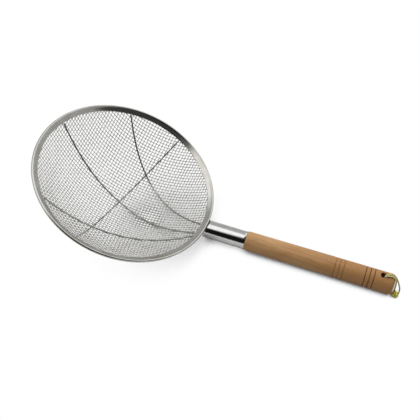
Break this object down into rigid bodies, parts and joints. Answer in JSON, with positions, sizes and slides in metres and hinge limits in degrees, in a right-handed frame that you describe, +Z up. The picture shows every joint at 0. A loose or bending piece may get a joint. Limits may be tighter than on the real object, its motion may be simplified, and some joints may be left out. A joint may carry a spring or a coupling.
{
  "type": "mesh strainer",
  "caption": "Round bowl of woven steel wire mesh in a folded steel rim with support ribs, on a steel ferrule and a turned wooden handle with a hanging cord, for lifting and draining food.",
  "frame": {"origin": "on the table, under the middle of the strainer's length and width, without the cord", "axes": "+X from the bowl towards the end of the handle, +Y across, +Z up from the table"},
  "size_m": [0.4742, 0.24, 0.1154],
  "materials": {
    "wire_steel": "bright drawn wire",
    "polished_steel": "mirror polished",
    "beech": "turned and oiled, with burnt grooves",
    "cord": "twisted nylon cord"
  },
  "bodies": {
    "strainer": {"mesh_dish": "wire_steel", "rim_hoop": "wire_steel", "rim_band": "polished_steel", "rib_centre": "wire_steel", "rib_left": "wire_steel", "rib_right": "wire_steel", "rib_cross": "wire_steel", "ferrule": "polished_steel", "handle": "beech"},
    "cord_loop": {"stopper_knot": "cord", "loop_strand_inner": "cord", "loop_strand_outer": "cord", "loop_knot": "cord"}
  },
  "joints": [
    {"name": "loop_swing", "type": "hinge", "parent": "strainer", "child": "cord_loop", "pos_m": [0.21742, 0, 0.01322], "axis": [0.0087, 0, 1], "range_deg": [-8, 20]}
  ]
}
